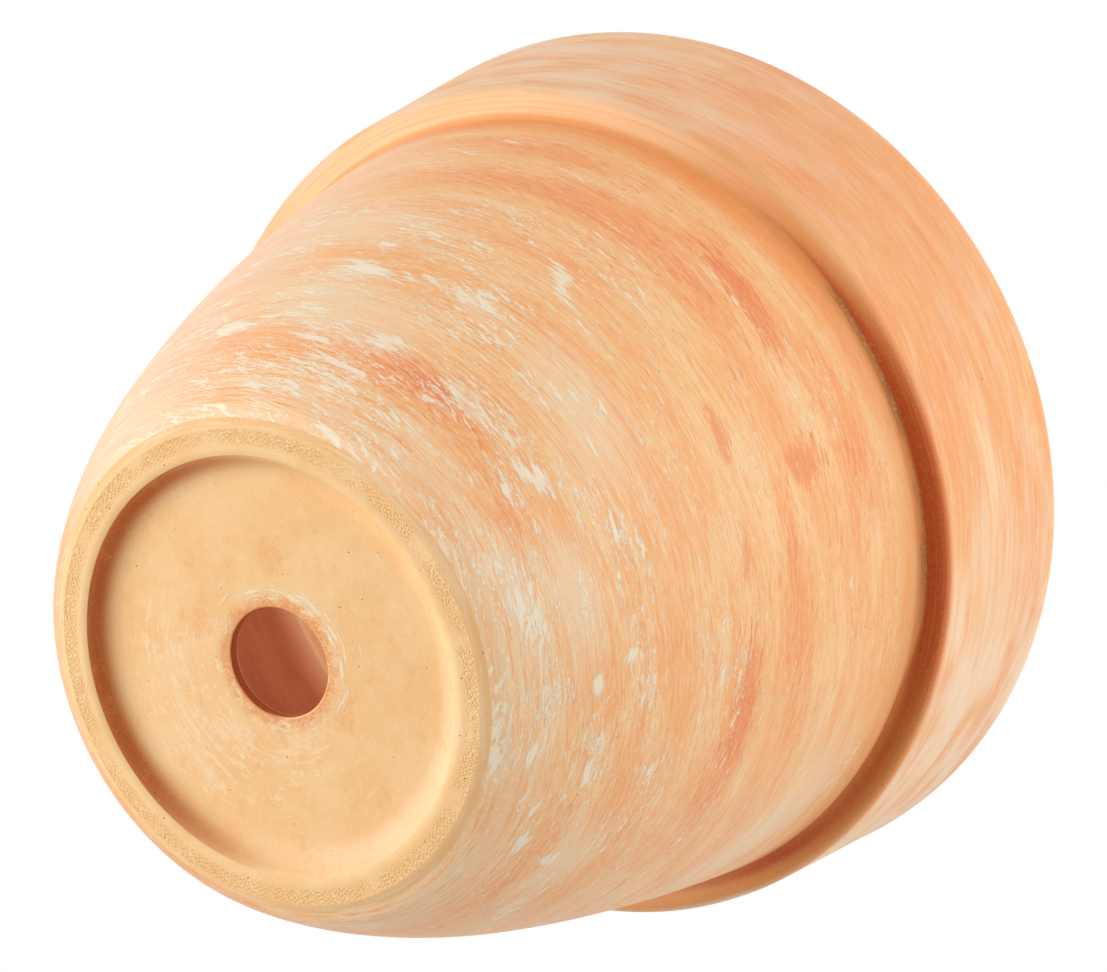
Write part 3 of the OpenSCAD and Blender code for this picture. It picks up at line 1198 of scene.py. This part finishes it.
def finish_inside():
    spot = new_finish("inside")
    brush = clouds(spot, 50, 1.6, seed=63, detail=4)
    tone = clouds(spot, 50, 20, seed=64)
    grain = clay_grain(spot, seed=65)
    # The deep red brown is partly the clay's own colour and partly painted shade for the dim inside.
    colour = blend(smooth(tone, 0.4, 0.65), INSIDE_RED, INSIDE_BROWN)
    colour = blend(smooth(brush, 0.48, 0.66) * 0.18, colour, INSIDE_STREAK)

    # Painted light: a glow on the inside wall below the step.
    lit_below_step = smooth(spot.z, STEP_Z - 22, STEP_Z - 1)
    colour = blend(lit_below_step * lit_below_step * 0.95, colour, STEP_LIT_ORANGE)
    above_step = smooth(spot.z, STEP_Z - 1.2, STEP_Z + 0.4)
    colour = blend(above_step * 0.9, colour, rim_colour(spot, brush, tone))
    # A painted highlight on the edge of the step.
    step_highlight = close_to(spot.z, STEP_Z - 1, core=0.3, edge=9)
    colour = blend(step_highlight * 0.7, colour, STEP_HIGHLIGHT)

    # Painted shade on the wall of the drain hole.
    in_hole = smooth(spot.radius, HOLE_R + 5, HOLE_R + 3.6)
    colour = blend(in_hole * 0.7, colour, HOLE_SHADE)
    # A painted highlight on the crease where the hole's wall ends.
    crease_highlight = close_to(spot.z, FLOOR_Z - HOLE_BEVEL, core=0.05, edge=0.3) * in_hole
    colour = blend(crease_highlight * 0.8, colour, CREASE_HIGHLIGHT)
    colour = blend(smooth(grain, 0.5, 0.8) * 0.2, colour, INSIDE_GRAIN)
    fire("inside", spot, colour, brush * 0.06 + grain * 0.05, roughness=0.7, gloss=0.15)


finish_inside()

# %% [markdown]
# The camera looks up at the pot from below. A long lens from more than a metre away keeps the pot's
# circles nearly parallel. Two vectors, in the camera's own frame, say where the foot is and which
# way the axis runs.

# %% The camera
LENS = 156.1
FOOT_SEEN_AT = Vector((-0.07905, -0.05069, -1.3231))
AXIS_SEEN_ALONG = Vector((0.5090, 0.2713, -0.8169)).normalized()


def camera_pose():
    """Where the camera stands in the pot's frame."""
    up = AXIS_SEEN_ALONG
    back = (FOOT_SEEN_AT - FOOT_SEEN_AT.dot(up) * up).normalized()
    turn = Matrix((back.cross(up), back, up))
    return Matrix.Translation(-(turn @ FOOT_SEEN_AT)) @ turn.to_4x4()


camera = bpy.data.objects.new("camera", bpy.data.cameras.new("camera"))
camera.data.sensor_width = 36
camera.data.lens = LENS
camera.data.clip_start = 0.05
camera.matrix_world = camera_pose()
bpy.context.scene.collection.objects.link(camera)
bpy.context.scene.camera = camera
print("camera at", [round(c, 3) for c in camera.location])

# %% [markdown]
# Fired clay has little shine, so its shape shows through soft shadows. A pale dome stands for the
# white room. The camera sees it plain white, while the clay is lit by its upper part alone.

# %% The dome
DOME_LEAN = (0.05, -0.35, 1)
DOME_ABOVE = 1.05
DOME_BELOW = 0.03
DOME_EDGE = (-0.08, 0.28)


def build_world():
    world = bpy.data.worlds.new("studio")
    world.use_nodes = True
    tree = world.node_tree
    start = Wire(tree)
    rays = [
        start.node("ShaderNodeLightPath", {}, {}, output=name)
        for name in ("Is Camera Ray", "Is Glossy Ray", "Is Transmission Ray")
    ]
    seen = smooth(rays[0] + rays[1] + rays[2], 0, 1)
    way = start.node("ShaderNodeTexCoord", {}, {}, output="Generated")
    lean = start.node(
        "ShaderNodeVectorMath", {"operation": "DOT_PRODUCT"},
        {0: way, 1: DOME_LEAN}, output="Value",
    )
    dome = smooth(lean, *DOME_EDGE) * (DOME_ABOVE - DOME_BELOW) + DOME_BELOW
    strength = seen + (1 - seen) * dome
    sky = tree.nodes["Background"]
    sky.inputs["Color"].default_value = (1, 1, 1, 1)
    tree.links.new(strength.socket, sky.inputs["Strength"])
    bpy.context.scene.world = world


build_world()

# %% [markdown]
# A large softbox low on one side is the key. It lights the foot and leaves the recess and the
# groove in shade. A second lights the wall from the side, and a weak third fills the shade.

# %% Softboxes
LIT_MIDDLE = Vector((0, 0, 0.1))


def add_softbox(name, way, distance, size, level):
    """A round softbox in that direction. Level is how brightly it lights a face turned to it."""
    lamp = bpy.data.lights.new(name, "AREA")
    lamp.shape = "DISK"
    lamp.size = size
    lamp.energy = level * math.pi**2 * (distance**2 + (size / 2) ** 2)
    thing = bpy.data.objects.new(name, lamp)
    way = Vector(way).normalized()
    thing.location = LIT_MIDDLE + way * distance
    thing.rotation_euler = way.to_track_quat("Z", "Y").to_euler()
    bpy.context.scene.collection.objects.link(thing)


add_softbox("key", way=(-0.48, 0.45, -0.76), distance=1.8, size=2.2, level=1.05)
add_softbox("side", way=(0.25, -0.95, 0.0), distance=1.8, size=1.8, level=0.38)
add_softbox("fill", way=(0.80, 0.50, -0.33), distance=1.8, size=1.2, level=0.16)
print("lamps:", [lamp.name for lamp in bpy.data.lights])

# %% [markdown]
# The pot stands on a white floor in the views from above. It fades out with distance, so that no
# horizon shows. From below the camera sees through it, and it never blocks the light.

# %% Floor
FLOOR_HALF = 3
FLOOR_DROP = 0.0005
FLOOR_FADE_FROM = 0.4
FLOOR_FADE_TO = 2.2
FLOOR_WHITE = (0.9, 0.9, 0.9, 1)


def floor_material():
    """White and matt for the camera above it, and clear for all other rays."""
    material = bpy.data.materials.new("floor")
    material.use_nodes = True
    tree = material.node_tree
    tree.nodes.clear()
    start = Wire(tree)
    camera_ray = start.node("ShaderNodeLightPath", {}, {}, output="Is Camera Ray")
    behind = start.node("ShaderNodeNewGeometry", {}, {}, output="Backfacing")
    place = start.node("ShaderNodeTexCoord", {}, {}, output="Object")
    far = start.node("ShaderNodeVectorMath", {"operation": "LENGTH"}, {0: place}, output="Value")
    near = smooth(far, FLOOR_FADE_TO, FLOOR_FADE_FROM)
    clear = start.node("ShaderNodeBsdfTransparent", {}, {})
    white = start.node("ShaderNodeBsdfDiffuse", {}, {"Color": FLOOR_WHITE})
    mixed = start.node(
        "ShaderNodeMixShader", {}, {0: camera_ray * (1 - behind) * near, 1: clear, 2: white},
    )
    out = tree.nodes.new("ShaderNodeOutputMaterial")
    tree.links.new(mixed.socket, out.inputs["Surface"])
    return material


def build_floor():
    mesh = bpy.data.meshes.new("floor")
    shape = bmesh.new()
    bmesh.ops.create_grid(shape, x_segments=1, y_segments=1, size=FLOOR_HALF)
    bmesh.ops.translate(shape, vec=(0, 0, -FLOOR_DROP), verts=shape.verts)
    shape.to_mesh(mesh)
    shape.free()
    floor = bpy.data.objects.new("floor", mesh)
    bpy.context.scene.collection.objects.link(floor)
    mesh.materials.append(floor_material())


build_floor()

# %% [markdown]
# The paints above were chosen as a screen shows them, so no view transform may bend them.

# %% Colours are shown as they are
bpy.context.scene.view_settings.view_transform = "Standard"
